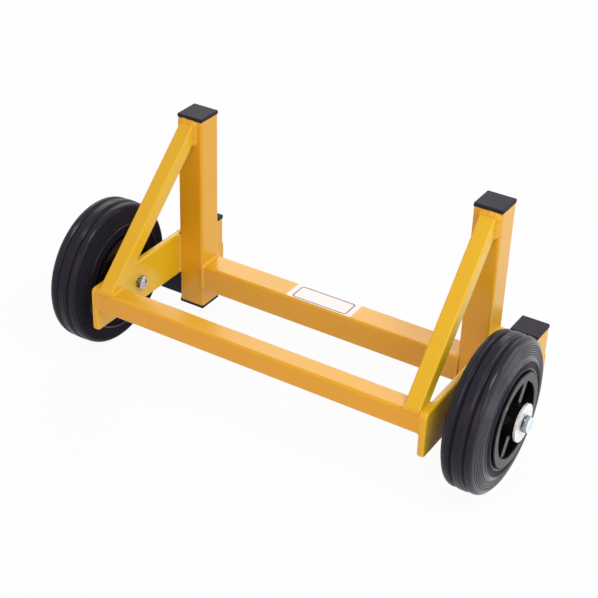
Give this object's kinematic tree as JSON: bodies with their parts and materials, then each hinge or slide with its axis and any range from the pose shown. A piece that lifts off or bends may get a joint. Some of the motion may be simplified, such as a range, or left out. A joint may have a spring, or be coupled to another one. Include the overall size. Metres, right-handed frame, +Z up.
{
  "type": "board carrier",
  "caption": "Low welded carrier on rubber-tyred wheels: braced box-section uprights, cross rails, side plates and rear feet form a slot that holds a board on edge.",
  "frame": {"origin": "on the ground under the middle of the part's outline, with the wheels standing on Z = 0", "axes": "+Z up; +X along the axles towards the right-hand wheel; +Y towards the board slot at the back"},
  "size_m": [0.693, 0.3112, 0.323],
  "materials": {
    "frame_paint": "glossy yellow powder coat",
    "cap_plastic": "black, matte",
    "zinc_steel": "bright zinc plate",
    "bearing_steel": "ground steel",
    "cage_plastic": "natural nylon",
    "tyre_rubber": "black solid rubber",
    "wheel_plastic": "black, glossy moulding"
  },
  "bodies": {
    "frame": {"front_rail": "frame_paint", "left_axle_bolt": "zinc_steel", "left_axle_sleeve": "bearing_steel", "left_axle_spacer": "zinc_steel", "left_brace": "frame_paint", "left_foot_front_cap": "cap_plastic", "left_foot_rear_cap": "cap_plastic", "left_foot_tube": "frame_paint", "left_inner_washer": "zinc_steel", "left_lock_nut": "zinc_steel", "left_outer_washer": "zinc_steel", "left_short_post": "frame_paint", "left_short_post_cap": "cap_plastic", "left_side_plate": "frame_paint", "left_upright": "frame_paint", "left_upright_bottom_cap": "cap_plastic", "left_upright_top_cap": "cap_plastic", "rear_rail": "frame_paint", "right_axle_bolt": "zinc_steel", "right_axle_sleeve": "bearing_steel", "right_axle_spacer": "zinc_steel", "right_brace": "frame_paint", "right_foot_front_cap": "cap_plastic", "right_foot_rear_cap": "cap_plastic", "right_foot_tube": "frame_paint", "right_inner_washer": "zinc_steel", "right_lock_nut": "zinc_steel", "right_outer_washer": "zinc_steel", "right_short_post": "frame_paint", "right_short_post_cap": "cap_plastic", "right_side_plate": "frame_paint", "right_upright": "frame_paint", "right_upright_bottom_cap": "cap_plastic", "right_upright_top_cap": "cap_plastic"},
    "left_wheel": {"left_bearing_cage": "cage_plastic", "left_bearing_rollers": "bearing_steel", "left_tyre": "tyre_rubber", "left_wheel_centre": "wheel_plastic"},
    "right_wheel": {"right_bearing_cage": "cage_plastic", "right_bearing_rollers": "bearing_steel", "right_tyre": "tyre_rubber", "right_wheel_centre": "wheel_plastic"}
  },
  "joints": [
    {"name": "left_wheel_spin", "type": "hinge", "parent": "frame", "child": "left_wheel", "pos_m": [-0.298, -0.05262, 0.103], "axis": [1, 0, 0], "continuous": true},
    {"name": "right_wheel_spin", "type": "hinge", "parent": "frame", "child": "right_wheel", "pos_m": [0.298, -0.05262, 0.103], "axis": [1, 0, 0], "continuous": true}
  ]
}
